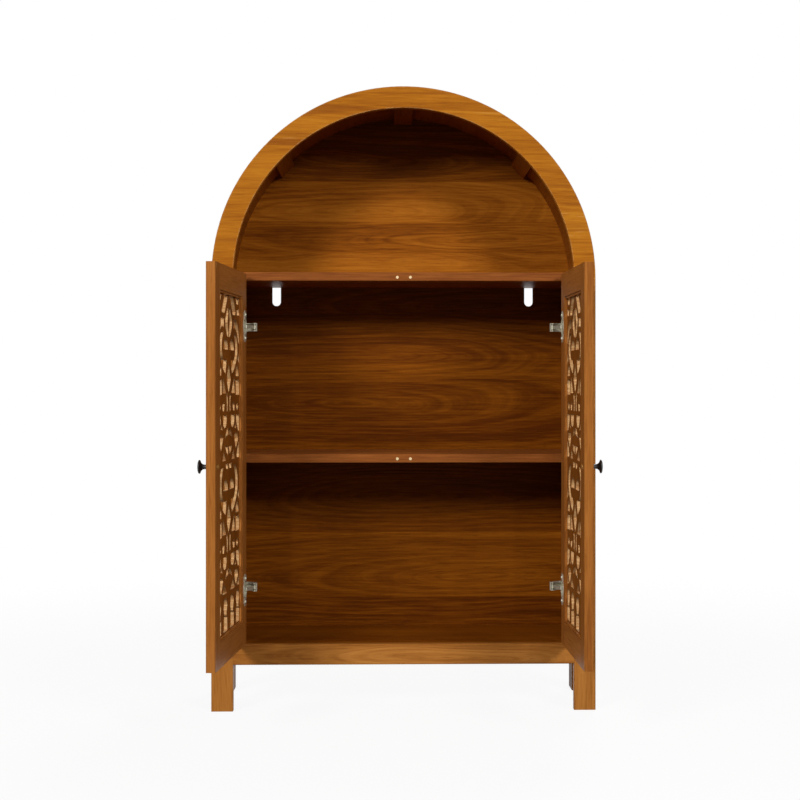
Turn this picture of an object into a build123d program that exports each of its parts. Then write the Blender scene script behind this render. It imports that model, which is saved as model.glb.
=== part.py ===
"""Arched cabinet with an open niche over two compartments, closed by a pair of fretwork doors.

Units are millimetres. X runs to the right, Y runs back from the doors to the wall, Z runs up.
The origin lies on the floor, under the middle of the carcass. The doors stand open.
"""

from build123d import *
import math
import os

# ---------------------------------------------------------------- carcass
carcass_width = 800.0
carcass_depth = 280.0
springing_height = 900.0  # floor to the centre of the arch
face_width = 45.0  # ring and posts, seen from the front
face_thickness = 18.0
side_thickness = 25.0  # side panels and the bent band over the niche
board_thickness = 18.0  # shelves and bottom panel
rail_bottom = 96.5
rail_height = 42.5
foot_depth = 60.0  # front and back feet, seen from the side
foot_corner_radius = 4.0
middle_shelf_height = 515.5  # floor to its underside
fixed_shelf_drop = 4.0  # centre of the arch down to the fixed shelf's underside
shelf_setback = 20.0  # front plane to the shelves' front edges
housing_depth = 6.0  # grooves in the side panels that hold middle shelf and bottom panel
seat_clearance = 0.1  # glued seats
edge_ease = 1.0  # eased edges

# ---------------------------------------------------------------- arch battens
batten_width = 40.0
batten_thickness = 12.0
batten_angles = {"left_arch_batten": 135.0, "crown_arch_batten": 90.0, "right_arch_batten": 45.0}

# ---------------------------------------------------------------- back panels
back_thickness = 5.0
back_recess = 1.0  # rear edges of the carcass to the back panels
back_lip = 12.0  # how far the rebate reaches into sides and band
back_clearance = 0.5
notch_offset = 283.0  # middle of the cabinet to each cable notch
notch_width = 19.0
notch_bottom = 855.0

# ---------------------------------------------------------------- flat dowels of the face frame
dowel_width = 24.0
dowel_thickness = 6.0
dowel_length = 40.0
dowel_fit = 0.05

# ---------------------------------------------------------------- doors
hinge_post_depth = 60.0
door_thickness = 18.0
door_gap = 2.0  # round each closed door
door_frame_width = 50.0
door_top_overlap = 13.0  # how far the closed doors cover the fixed shelf's edge
left_door_angle = 94.5
right_door_angle = 91.0
tenon_length = 30.0
tenon_thickness = 6.0
tenon_height = 28.0
lattice_thickness = 6.0
lattice_groove = 8.0  # depth of the groove that holds the lattice
lattice_play = 0.6  # the panel ends this far short of the groove's bottom
lattice_slack = 0.05  # on each face of the panel
bead_width = 4.0
bead_height = 4.0

# ---------------------------------------------------------------- fretwork, drawn on a grid of cells
fret_columns = 24  # cells across the opening
fret_rows = 64  # cells down the opening
fret_tier_rows = 26.4  # rows from one tier to the next
fret_crown_rows = 8.0  # rows of the crown zone, over the first tier
fret_vase_rows = 7.4  # rows of the vase zone, under the last tier
fret_crests = (0.0, 1.2)  # rows by which the curls of each tier rise further

# ---------------------------------------------------------------- knobs
knob_drop = 1.0  # middle of the door down to the knob's axis
knob_edge = 28.0  # free edge of the door to the knob's axis
knob_radius = 13.0
knob_length = 20.5
knob_foot_radius = 6.5
knob_foot_thickness = 2.0
knob_neck_radius = 4.5
knob_neck_length = 9.0  # door to where the neck starts to flare
knob_flare_radius = 8.5
knob_flare_length = 13.6
knob_rim = (16.0, 18.5)  # door to the two sides of the cap's rim
knob_face_radius = 9.0
knob_face_length = 19.9
knob_screw_radius = 2.0
knob_screw_head_radius = 4.0
knob_screw_head_height = 1.5
knob_screw_reach = 10.0  # thread inside the knob
screw_fit = 0.05

# ---------------------------------------------------------------- concealed hinges
hinge_insets = {"lower": 114.0, "upper": 110.0}  # nearer end of the door to each hinge
cup_radius = 17.5
cup_depth = 11.5
cup_wall = 0.9
cup_edge = 2.5  # edge of the door to the cup
cup_fit = 0.05
flange_radius = 19.0
flange_length = 65.0
flange_width = 24.0
flange_thickness = 1.2
flange_ease = 6.0
cup_pin_edge = 6.0  # edge of the door to the pin in the cup
cup_pin_depth = 5.0  # inner face of the door to that pin
cup_pin_radius = 1.0
cup_pin_cover = 0.3  # wall left outside the end of that pin
arm_pin_inset = 43.0  # inner edge of the post to the pin in the arm
arm_pin_depth = 26.0  # front plane to that pin
arm_pin_radius = 1.5
pin_fit = 0.05
link_height = 7.0
link_relief = 0.6  # flange cut away above and below the link
link_thickness = 2.4
link_knuckle_radius = 2.0
link_eye_radius = 2.8
link_bend_along = 3.0  # the gooseneck bend, from the cup pin towards the arm pin
link_bend_out = 5.5  # and square to that line
link_share = 36.0 / 94.5  # the link's turn for each degree of the door's
arm_height = 17.0
arm_wall = 1.5
arm_nose_reach = 4.5  # half width of the nose, and its reach before the pin
arm_nose_ease = 2.4
arm_shoulder = 12.0  # the arm stays high this far behind its pin
arm_tail = 48.0  # arm pin to the arm's back end
arm_tail_rise = 12.0  # top of the arm over the post at its back end
arm_throat = 20.0  # arm pin to where the arm meets its plate
plate_thickness = 3.0
plate_length = 40.0
plate_height = 22.0
plate_setback = 4.0  # back of the plate to the back of the post
wing_height = 56.0
wing_root = 12.0
wing_tip = 20.0

# ---------------------------------------------------------------- magnetic catches
magnet_radius = 3.0
magnet_length = 10.0
magnet_offset = 13.7  # middle of the cabinet to each magnet
magnet_proud = 1.6
magnet_fit = 0.05
fixed_shelf_magnet_rise = 7.5  # the shelf's underside to its magnets
middle_shelf_magnet_rise = 8.0
strike_radius = 4.5
strike_thickness = 1.0

# ---------------------------------------------------------------- places that follow from the sizes
arch_radius = carcass_width / 2
inner_half_width = arch_radius - side_thickness
opening_half_width = arch_radius - face_width
front = -carcass_depth / 2
back = carcass_depth / 2
face_back = front + face_thickness
shelf_front = front + shelf_setback
back_rear = back - back_recess
back_front = back_rear - back_thickness
rail_top = rail_bottom + rail_height
bottom_underside = rail_top - board_thickness
hinge_post_back = face_back + hinge_post_depth
fixed_shelf_height = springing_height - fixed_shelf_drop
fixed_shelf_magnet_height = fixed_shelf_height + fixed_shelf_magnet_rise
middle_shelf_magnet_height = middle_shelf_height + middle_shelf_magnet_rise
fixed_shelf_top = fixed_shelf_height + board_thickness
back_joint_height = fixed_shelf_height + board_thickness / 2
back_edge = inner_half_width + back_lip - back_clearance
housing_reach = inner_half_width + housing_depth - seat_clearance

door_width = opening_half_width - 1.5 * door_gap
door_half_width = door_width / 2
door_bottom = rail_top + door_gap
door_top = fixed_shelf_height + door_top_overlap
door_height = door_top - door_bottom
door_middle = (door_bottom + door_top) / 2
knob_height = door_middle - knob_drop
hinge_heights = {
    "lower": door_bottom + hinge_insets["lower"],
    "upper": door_top - hinge_insets["upper"],
}
groove_face = (door_thickness - lattice_thickness) / 2
fret_half_width = door_half_width - door_frame_width
fret_top = door_top - door_frame_width
fret_bottom = door_bottom + door_frame_width
fret_height = fret_top - fret_bottom
cell_width = 2 * fret_half_width / fret_columns
cell_height = fret_height / fret_rows
cup_centre = cup_edge + cup_radius
cup_inner_radius = cup_radius - cup_wall

HANDS = {"left": -1, "right": 1}
DOOR_ANGLES = {"left": left_door_angle, "right": right_door_angle}

os.makedirs("parts", exist_ok=True)


def save(part, name):
    """Label a finished piece and write its STEP file."""
    part.label = name
    export_step(part, f"parts/{name}.step")


def facing(y):
    """Plane square to Y, drawn as seen from the front. Extruding grows towards the front."""
    return Plane.XZ.offset(-y)


def block(x, y, z, mode=Mode.ADD):
    """Box between two limits on each axis."""
    size = [high - low for low, high in (x, y, z)]
    middle = [(low + high) / 2 for low, high in (x, y, z)]
    with Locations(Vector(*middle)):
        Box(*size, mode=mode)


def peg(start, direction, radius, length, mode=Mode.ADD):
    """Round peg from a point along a direction."""
    with BuildSketch(Plane(origin=start, z_dir=direction)) as end_face:
        Circle(radius)
    extrude(end_face.sketch, amount=length, mode=mode)


def hole(start, direction, radius, depth):
    """Round hole from a point on a surface, sunk along a direction."""
    peg(start, direction, radius, depth, Mode.SUBTRACT)


# ================================================================ face frame
face_middle = (front + face_back) / 2
post_middle = (opening_half_width + arch_radius) / 2
rail_middle = (rail_bottom + rail_top) / 2


def flat_dowel(x, z, upright, fit=0.0, mode=Mode.ADD):
    """Flat dowel across a joint, upright or lying along X. Its seat is larger by the fit."""
    length = dowel_length / 2 - dowel_fit + fit
    width = dowel_width / 2 + fit
    thickness = dowel_thickness / 2 + fit
    reach_x, reach_z = (width, length) if upright else (length, width)
    block(
        (x - reach_x, x + reach_x),
        (face_middle - thickness, face_middle + thickness),
        (z - reach_z, z + reach_z),
        mode,
    )


with BuildPart() as arch_ring:
    with BuildSketch(facing(face_back)):
        with Locations((0, springing_height)):
            Circle(arch_radius)
            Circle(opening_half_width, mode=Mode.SUBTRACT)
            Rectangle(
                carcass_width, arch_radius, align=(Align.CENTER, Align.MAX), mode=Mode.SUBTRACT
            )
    extrude(amount=face_thickness)
    chamfer(arch_ring.edges().filter_by(GeomType.CIRCLE).group_by(Axis.Y)[0], edge_ease)
    for side in HANDS.values():
        flat_dowel(side * post_middle, springing_height, True, dowel_fit, Mode.SUBTRACT)
save(arch_ring.part, "arch_ring")

for hand, side in HANDS.items():
    with BuildPart() as front_post:
        post_x = sorted((side * opening_half_width, side * arch_radius))
        block(post_x, (front, face_back), (0, springing_height))
        chamfer(front_post.edges().filter_by(Axis.Z).group_by(Axis.Y)[0], edge_ease)
        flat_dowel(side * post_middle, springing_height, True, dowel_fit, Mode.SUBTRACT)
        flat_dowel(side * opening_half_width, rail_middle, False, dowel_fit, Mode.SUBTRACT)
    save(front_post.part, f"{hand}_front_post")

with BuildPart() as front_rail:
    block(
        (-opening_half_width, opening_half_width), (front, face_back), (rail_bottom, rail_top)
    )
    chamfer(front_rail.edges().filter_by(Axis.X).group_by(Axis.Y)[0], edge_ease)
    for side in HANDS.values():
        flat_dowel(side * opening_half_width, rail_middle, False, dowel_fit, Mode.SUBTRACT)
save(front_rail.part, "front_rail")

with BuildPart() as ring_dowels:
    for side in HANDS.values():
        flat_dowel(side * post_middle, springing_height, True)
save(ring_dowels.part, "ring_dowels")

with BuildPart() as rail_dowels:
    for side in HANDS.values():
        flat_dowel(side * opening_half_width, rail_middle, False)
save(rail_dowels.part, "rail_dowels")

# ================================================================ carcass
for hand, side in HANDS.items():
    with BuildPart() as side_panel:
        with BuildSketch(Plane.YZ.offset(min(side * inner_half_width, side * arch_radius))):
            with Locations((face_back, 0)):
                Rectangle(back - face_back, springing_height, align=(Align.MIN, Align.MIN))
            with BuildSketch(mode=Mode.SUBTRACT) as foot_gap:
                with Locations((front + foot_depth, 0)):
                    Rectangle(
                        carcass_depth - 2 * foot_depth, rail_bottom, align=(Align.MIN, Align.MIN)
                    )
                fillet(foot_gap.vertices().group_by(Axis.Y)[-1], foot_corner_radius)
        extrude(amount=side_thickness)
        rebate_x = sorted((side * inner_half_width, side * (inner_half_width + back_lip)))
        housing_x = sorted((side * inner_half_width, side * (inner_half_width + housing_depth)))
        block(rebate_x, (back_front, back), (bottom_underside, springing_height), Mode.SUBTRACT)
        block(housing_x, (face_back, back_front), (bottom_underside, rail_top), Mode.SUBTRACT)
        block(
            housing_x,
            (hinge_post_back, back_front),
            (middle_shelf_height, middle_shelf_height + board_thickness),
            Mode.SUBTRACT,
        )
    save(side_panel.part, f"{hand}_side_panel")

with BuildPart() as arch_band:
    with BuildSketch(facing(back)):
        with Locations((0, springing_height)):
            Circle(arch_radius)
            Circle(inner_half_width, mode=Mode.SUBTRACT)
            Rectangle(
                carcass_width, arch_radius, align=(Align.CENTER, Align.MAX), mode=Mode.SUBTRACT
            )
    extrude(amount=back - face_back)
    with BuildSketch(facing(back)):
        with Locations((0, springing_height)):
            Circle(inner_half_width + back_lip)
    extrude(amount=back - back_front, mode=Mode.SUBTRACT)
save(arch_band.part, "arch_band")

for batten_name, angle in batten_angles.items():
    with BuildPart() as arch_batten:
        with BuildSketch(facing(back_front)):
            with Locations((0, springing_height)):
                with PolarLocations(inner_half_width - batten_thickness, 1, start_angle=angle):
                    Rectangle(
                        2 * batten_thickness, batten_width, align=(Align.MIN, Align.CENTER)
                    )
                Circle(inner_half_width - seat_clearance, mode=Mode.INTERSECT)
        extrude(amount=back_front - face_back)
    save(arch_batten.part, batten_name)

shelf_drop = fixed_shelf_top - springing_height
fixed_shelf_reach = math.sqrt(inner_half_width**2 - shelf_drop**2) - seat_clearance
with BuildPart() as fixed_shelf:
    block(
        (-fixed_shelf_reach, fixed_shelf_reach),
        (shelf_front, back_front),
        (fixed_shelf_height, fixed_shelf_top),
    )
    chamfer(fixed_shelf.edges().filter_by(Axis.X).group_by(Axis.Y)[0], edge_ease)
    for side in HANDS.values():
        hole(
            (side * magnet_offset, shelf_front, fixed_shelf_magnet_height),
            (0, 1, 0),
            magnet_radius + magnet_fit,
            magnet_length - magnet_proud,
        )
save(fixed_shelf.part, "fixed_shelf")

with BuildPart() as middle_shelf:
    post_line = hinge_post_back + seat_clearance
    front_reach = opening_half_width - seat_clearance
    shelf_z = (middle_shelf_height, middle_shelf_height + board_thickness)
    block((-housing_reach, housing_reach), (post_line, back_front), shelf_z)
    block((-front_reach, front_reach), (shelf_front, post_line), shelf_z)
    chamfer(middle_shelf.edges().filter_by(Axis.X).group_by(Axis.Y)[0], edge_ease)
    for side in HANDS.values():
        hole(
            (side * magnet_offset, shelf_front, middle_shelf_magnet_height),
            (0, 1, 0),
            magnet_radius + magnet_fit,
            magnet_length - magnet_proud,
        )
save(middle_shelf.part, "middle_shelf")

with BuildPart() as bottom_panel:
    block(
        (-housing_reach, housing_reach), (face_back, back_front), (bottom_underside, rail_top)
    )
save(bottom_panel.part, "bottom_panel")

with BuildPart() as upper_back_panel:
    with BuildSketch(facing(back_rear)):
        with Locations((0, springing_height)):
            Circle(back_edge)
        with Locations((0, back_joint_height)):
            Rectangle(
                carcass_width, carcass_width, align=(Align.CENTER, Align.MAX), mode=Mode.SUBTRACT
            )
    extrude(amount=back_thickness)
save(upper_back_panel.part, "upper_back_panel")

with BuildPart() as lower_back_panel:
    with BuildSketch(facing(back_rear)):
        with Locations((0, bottom_underside)):
            Rectangle(
                2 * back_edge,
                back_joint_height - bottom_underside,
                align=(Align.CENTER, Align.MIN),
            )
        with Locations((-notch_offset, notch_bottom), (notch_offset, notch_bottom)):
            with Locations((0, notch_width / 2)):
                Circle(notch_width / 2, mode=Mode.SUBTRACT)
                Rectangle(
                    notch_width,
                    back_joint_height - notch_bottom,
                    align=(Align.CENTER, Align.MIN),
                    mode=Mode.SUBTRACT,
                )
    extrude(amount=back_thickness)
save(lower_back_panel.part, "lower_back_panel")

for hand, side in HANDS.items():
    with BuildPart() as hinge_post:
        post_x = sorted((side * opening_half_width, side * inner_half_width))
        block(post_x, (face_back, hinge_post_back), (rail_top, fixed_shelf_height))
    save(hinge_post.part, f"{hand}_hinge_post")

# ================================================================ magnets in the shelves' edges
for shelf_name, height in (
    ("fixed_shelf", fixed_shelf_magnet_height),
    ("middle_shelf", middle_shelf_magnet_height),
):
    with BuildPart() as shelf_magnets:
        for side in HANDS.values():
            peg(
                (side * magnet_offset, shelf_front - magnet_proud, height),
                (0, 1, 0),
                magnet_radius,
                magnet_length - magnet_fit,
            )
    save(shelf_magnets.part, f"{shelf_name}_magnets")


# ================================================================ fretwork
def at(column, row):
    """Point of the fretwork grid: cells from the middle, rows from the top of the opening."""
    return (column * cell_width, fret_top - row * cell_height)


def cut(sign, first_row, *cells):
    """Straight-sided opening through grid points."""
    with BuildSketch() as opening:
        with BuildLine():
            Polyline(*[at(sign * column, first_row + row) for column, row in cells], close=True)
        make_face()
    return opening.sketch


def scroll(sign, first_row, *edges):
    """Curved opening: arcs through three grid points, lines through two, ends joined straight."""
    places = [[at(sign * column, first_row + row) for column, row in edge] for edge in edges]
    with BuildSketch() as opening:
        with BuildLine():
            for edge, following in zip(places, places[1:] + places[:1]):
                if len(edge) == 3:
                    ThreePointArc(*edge)
                else:
                    Line(*edge)
                if edge[-1] != following[0]:
                    Line(edge[-1], following[0])
        make_face()
    return opening.sketch


def crown(sign):
    """Openings over the first tier: half of the ringed diamond, strips, slivers and a crescent."""
    ring_row = 5.5
    ring_outside = ((0.4, -2.8), (1.6, -2.5), (3.6, -0.3), (3.5, 0.8), (1.6, 2.6), (0.4, 2.9))
    ring_inside = ((0.4, 1.8), (1.3, 0.0), (0.4, -1.7))
    return [
        cut(sign, ring_row, *ring_outside, *ring_inside),
        cut(sign, 0, (0.9, 0.4), (4.6, 0.4), (7.5, 3.3), (6.9, 3.9), (4.4, 3.9)),
        cut(sign, 0, (7.4, 0.4), (11.1, 0.4), (10.3, 1.7), (8.7, 1.7)),
        cut(sign, 0, (8.8, 2.8), (11.4, 2.5), (11.4, 3.7), (9.3, 3.9)),
        scroll(
            sign,
            0,
            ((5.0, 4.9), (9.6, 5.6), (11.4, 9.2)),
            ((10.5, 9.2), (9.3, 7.5), (5.2, 6.6)),
        ),
    ]


def tier_head(sign, first_row, crest):
    """Upper half of a tier: curl with a broad foot, dome, side wedge, quarter and wedge."""
    return [
        scroll(
            sign,
            first_row,
            ((5.5, -0.5 - crest), (8.9, 0.5 - crest), (9.4, 3.4)),
            ((9.4, 3.4), (7.3, 5.4), (3.4, 7.2)),
            ((2.2, 4.6), (5.4, 4.6)),
            ((5.4, 4.6), (7.1, 2.9), (6.7, 0.7 - crest)),
        ),
        scroll(sign, first_row, ((0.8, 2.7), (3.2, 0.6), (5.6, 2.7))),
        cut(sign, first_row, (9.9, 4.2), (11.4, 3.2), (11.4, 5.2)),
        cut(sign, first_row, (7.8, 6.3), (9.3, 5.3), (10.5, 6.5), (10.9, 7.6), (7.8, 7.6)),
        cut(sign, first_row, (7.3, 8.3), (11.0, 8.3), (11.4, 9.2), (11.4, 11.2), (7.3, 11.2)),
        cut(sign, first_row, (5.9, 7.7), (6.5, 10.9), (2.9, 10.9)),
    ]


def tier_waist(sign, first_row):
    """Middle of a tier: thin scroll, drop, bean, half round and shouldered block."""
    return [
        scroll(
            sign,
            first_row,
            ((1.5, 10.7), (0.8, 12.9), (1.2, 14.5)),
            ((2.1, 14.1), (1.9, 12.9), (2.4, 11.4)),
        ),
        cut(sign, first_row, (4.2, 12.9), (5.3, 12.4), (6.5, 13.2), (6.2, 14.2), (5.0, 14.3)),
        cut(sign, first_row, (8.1, 13.5), (8.8, 12.8), (9.9, 12.8), (10.4, 13.5), (9.3, 14.3)),
        scroll(sign, first_row, ((2.0, 15.0), (4.1, 17.4), (6.2, 15.0))),
        cut(sign, first_row, (8.3, 15.0), (11.4, 15.0), (11.4, 18.2), (10.4, 18.2), (8.3, 16.4)),
    ]


def tier_eye(sign, first_row):
    """Lower half of a tier: one lid of the eye, small wedge and hexagon."""
    return [
        cut(sign, first_row, (0.5, 17.4), (1.9, 17.7), (3.9, 19.3), (0.5, 18.6)),
        cut(sign, first_row, (7.3, 16.5), (8.4, 17.5), (6.3, 17.8)),
        cut(sign, first_row, (5.8, 19.2), (7.4, 18.5), (9.4, 18.6), (10.3, 19.8), (7.9, 21.6)),
    ]


def tier_link(sign, first_row):
    """Openings between two tiers: lower lid, shouldered block, wedge and sliver."""
    return [
        cut(sign, first_row, (0.4, 20.9), (3.7, 20.8), (2.4, 21.9), (0.9, 22.5)),
        cut(sign, first_row, (10.9, 20.4), (11.4, 20.4), (11.4, 23.4), (9.0, 23.4), (8.7, 22.8)),
        cut(sign, first_row, (5.0, 21.6), (6.6, 23.5), (3.2, 23.5)),
        cut(sign, first_row, (0.5, 24.1), (3.1, 24.1), (2.5, 25.1), (0.9, 25.1)),
    ]


def tier_base(sign, first_row):
    """Openings between the last tier and the vases."""
    return [
        cut(sign, first_row, (4.9, 19.9), (6.4, 21.9), (1.8, 21.9)),
        cut(sign, first_row, (10.9, 20.4), (11.4, 20.4), (11.4, 21.9), (9.6, 21.9)),
    ]


def kite(first_row):
    """Kite on the middle line of a tier."""
    return cut(1, first_row, (0, 5.3), (2.2, 8.3), (0, 10.9), (-2.2, 8.3))


def vase(column, first_row, half_width):
    """Domed vase with a waist over a square foot."""
    waist = 0.62 * half_width
    left, right = column - half_width, column + half_width
    return scroll(
        1,
        first_row,
        ((left, 2.1), (column, 0.5), (right, 2.1)),
        ((column + waist, 3.3), (column + waist, 3.9)),
        ((right, 4.4), (right, 6.8)),
        ((left, 6.8), (left, 4.4)),
        ((column - waist, 3.9), (column - waist, 3.3)),
    )


def fret_openings():
    """Every opening of one door's fretwork, in the plane of the panel."""
    tiers = (fret_crown_rows, fret_crown_rows + fret_tier_rows)
    vase_row = fret_rows - fret_vase_rows
    openings = [kite(tier) for tier in tiers]
    for sign in HANDS.values():
        openings += crown(sign)
        for tier, crest in zip(tiers, fret_crests):
            openings += tier_head(sign, tier, crest)
            openings += tier_waist(sign, tier) + tier_eye(sign, tier)
        openings += tier_link(sign, tiers[0]) + tier_base(sign, tiers[1])
        openings += [vase(sign * 3.5, vase_row, 2.0), vase(sign * 9.7, vase_row, 1.7)]
    return openings


FRET_OPENINGS = fret_openings()


# ================================================================ doors and hinges
def arm_pin_place(side):
    """Axis of a hinge arm's pin, seen from above."""
    return Vector(side * (opening_half_width - arm_pin_inset), front + arm_pin_depth)


def cup_pin_place(side, angle):
    """Axis of a hinge cup's pin, seen from above, with the door open by an angle."""
    closed = Vector(
        side * (opening_half_width - door_gap - cup_pin_edge),
        front + door_thickness - cup_pin_depth,
    )
    arm_pin = arm_pin_place(side)
    return arm_pin + (closed - arm_pin).rotate(Axis.Z, -side * link_share * angle)


def door_plane(side, angle):
    """Inner face of a door: X across it, Y up from the floor, Z out through its thickness."""
    across = Vector(1, 0, 0).rotate(Axis.Z, side * angle)
    outward = Vector(0, -1, 0).rotate(Axis.Z, side * angle)
    cup_pin = cup_pin_place(side, angle)
    origin = cup_pin - across * side * (door_half_width - cup_pin_edge) - outward * cup_pin_depth
    return Plane(origin=origin, x_dir=across, z_dir=outward)


def slab(plane, across, up, deep, mode=Mode.ADD):
    """Box in a door's own directions, between two limits on each."""
    with BuildSketch(plane.offset(deep[0])) as face:
        with Locations(((across[0] + across[1]) / 2, (up[0] + up[1]) / 2)):
            Rectangle(across[1] - across[0], up[1] - up[0])
    extrude(face.sketch, amount=deep[1] - deep[0], mode=mode)


def sunk(plane, across, up, radius, deep, mode=Mode.SUBTRACT):
    """Round bore or disc in a door's own directions, between two depths."""
    with BuildSketch(plane.offset(deep[0])) as face:
        with Locations((across, up)):
            Circle(radius)
    extrude(face.sketch, amount=deep[1] - deep[0], mode=mode)


groove_deep = (groove_face - lattice_slack, door_thickness - groove_face + lattice_slack)
tenon_deep = (groove_face, groove_face + tenon_thickness)
strike_heights = (middle_shelf_magnet_height, fixed_shelf_magnet_height)
rail_middles = {
    "bottom": door_bottom + door_frame_width / 2,
    "top": door_top - door_frame_width / 2,
}

for hand, side in HANDS.items():
    inner = door_plane(side, DOOR_ANGLES[hand])
    free = -side  # the free edge lies on this side of the door's middle
    knob_across = free * (door_half_width - knob_edge)
    strike_across = free * (door_half_width + door_gap / 2 - magnet_offset)
    cup_across = side * (door_half_width - cup_centre)

    for stile_name, edge in (("hinge_stile", side), ("lock_stile", free)):
        with BuildPart() as stile:
            across = sorted((edge * door_half_width, edge * fret_half_width))
            slab(inner, across, (door_bottom, door_top), (0, door_thickness))
            long_edges = stile.edges().filter_by(Axis.Z)
            outer_edges = long_edges.sort_by_distance(
                inner.from_local_coords((edge * door_half_width, door_middle, door_thickness / 2))
            )[:2]
            chamfer(outer_edges, edge_ease)
            groove = sorted((edge * fret_half_width, edge * (fret_half_width + lattice_groove)))
            slab(inner, groove, (door_bottom, door_top), groove_deep, Mode.SUBTRACT)
            mortise = sorted(
                (edge * fret_half_width, edge * (fret_half_width + tenon_length + lattice_play))
            )
            for middle in rail_middles.values():
                tenon_up = (middle - tenon_height / 2, middle + tenon_height / 2)
                slab(inner, mortise, tenon_up, groove_deep, Mode.SUBTRACT)
            if edge == side:
                for height in hinge_heights.values():
                    sunk(inner, cup_across, height, cup_radius, (0, cup_depth))
            else:
                hole_deep = (0, door_thickness)
                sunk(inner, knob_across, knob_height, knob_screw_radius + screw_fit, hole_deep)
                for height in strike_heights:
                    sunk(
                        inner,
                        strike_across,
                        height,
                        strike_radius + magnet_fit,
                        (0, strike_thickness + magnet_fit),
                    )
        save(stile.part, f"{hand}_door_{stile_name}")

    for rail_name, middle in rail_middles.items():
        with BuildPart() as rail:
            up = (middle - door_frame_width / 2, middle + door_frame_width / 2)
            slab(inner, (-fret_half_width, fret_half_width), up, (0, door_thickness))
            grooved = up[1] if rail_name == "bottom" else up[0]
            groove_bottom = grooved - math.copysign(lattice_groove, grooved - middle)
            groove_up = sorted((grooved, groove_bottom))
            reach = (-fret_half_width, fret_half_width)
            slab(inner, reach, groove_up, groove_deep, Mode.SUBTRACT)
            for end in HANDS.values():
                tongue = sorted(
                    (end * (fret_half_width - lattice_groove), end * (fret_half_width + tenon_length))
                )
                tenon_up = (middle - tenon_height / 2, middle + tenon_height / 2)
                slab(inner, tongue, tenon_up, tenon_deep)
                stub = sorted(
                    (end * fret_half_width, end * (fret_half_width + lattice_groove - lattice_play))
                )
                stub_up = sorted((2 * middle - grooved, groove_bottom))
                slab(inner, stub, stub_up, tenon_deep)
        save(rail.part, f"{hand}_door_{rail_name}_rail")

    with BuildPart() as fretwork:
        panel_reach = lattice_groove - lattice_play
        with BuildSketch(inner.offset(groove_face)):
            with Locations((0, (fret_top + fret_bottom) / 2)):
                Rectangle(2 * (fret_half_width + panel_reach), fret_height + 2 * panel_reach)
            add(FRET_OPENINGS, mode=Mode.SUBTRACT)
        extrude(amount=lattice_thickness)
    save(fretwork.part, f"{hand}_door_fretwork")

    with BuildPart() as bead:
        bead_half_width = fret_half_width - seat_clearance
        bead_half_height = fret_height / 2 - seat_clearance
        corners = [
            (-bead_half_width, -bead_half_height),
            (bead_half_width, -bead_half_height),
            (bead_half_width, bead_half_height),
            (-bead_half_width, bead_half_height),
        ]
        for start, end in zip(corners, corners[1:] + corners[:1]):
            inset = [
                (x - math.copysign(bead_width, x), y - math.copysign(bead_width, y))
                for x, y in (end, start)
            ]
            strip = [(x, y + (fret_top + fret_bottom) / 2) for x, y in (start, end, *inset)]
            with BuildSketch(inner.offset(groove_face - bead_height)):
                with BuildLine():
                    Polyline(*strip, close=True)
                make_face()
            extrude(amount=bead_height - lattice_slack)
    save(bead.part, f"{hand}_door_bead")

    with BuildPart() as knob:
        outward = inner.z_dir
        seat = inner.from_local_coords((knob_across, knob_height, door_thickness))
        with BuildSketch(
            Plane(origin=seat, x_dir=inner.x_dir, z_dir=inner.x_dir.cross(outward))
        ):
            with BuildLine():
                Polyline(
                    (0, 0),
                    (knob_foot_radius, 0),
                    (knob_neck_radius, knob_foot_thickness),
                    (knob_neck_radius, knob_neck_length),
                    (knob_flare_radius, knob_flare_length),
                    (knob_radius, knob_rim[0]),
                    (knob_radius, knob_rim[1]),
                    (knob_face_radius, knob_face_length),
                    (0, knob_length),
                    close=True,
                )
            make_face()
        revolve(axis=Axis(seat, outward))
        hole(seat, outward, knob_screw_radius + screw_fit, knob_screw_reach + screw_fit)
    save(knob.part, f"{hand}_door_knob")

    with BuildPart() as knob_screw:
        head_deep = (-knob_screw_head_height, 0)
        shank_deep = (0, door_thickness + knob_screw_reach)
        sunk(inner, knob_across, knob_height, knob_screw_head_radius, head_deep, Mode.ADD)
        sunk(inner, knob_across, knob_height, knob_screw_radius, shank_deep, Mode.ADD)
    save(knob_screw.part, f"{hand}_door_knob_screw")

    with BuildPart() as strikes:
        for height in strike_heights:
            sunk(inner, strike_across, height, strike_radius, (0, strike_thickness), Mode.ADD)
    save(strikes.part, f"{hand}_door_strikes")

    # ------------------------------------------------------------ hinges of this door
    arm_pin = arm_pin_place(side)
    cup_pin = cup_pin_place(side, DOOR_ANGLES[hand])
    pin_line = (arm_pin - cup_pin).normalized()
    bend_out = pin_line.rotate(Axis.Z, side * 90) * link_bend_out
    link_bend = cup_pin + pin_line * link_bend_along + bend_out
    cup_pin_corner = cup_centre - cup_pin_edge + cup_pin_radius
    cup_pin_chord = math.sqrt((cup_radius - cup_pin_cover) ** 2 - cup_pin_corner**2)

    with BuildPart() as cup_pins:
        for height in hinge_heights.values():
            start = (cup_pin.X, cup_pin.Y, height - cup_pin_chord + pin_fit)
            peg(start, (0, 0, 1), cup_pin_radius, 2 * (cup_pin_chord - pin_fit))
    save(cup_pins.part, f"{hand}_hinge_cup_pins")

    with BuildPart() as arm_pins:
        for height in hinge_heights.values():
            start = (arm_pin.X, arm_pin.Y, height - arm_height / 2)
            peg(start, (0, 0, 1), arm_pin_radius, arm_height)
    save(arm_pins.part, f"{hand}_hinge_arm_pins")

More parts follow.
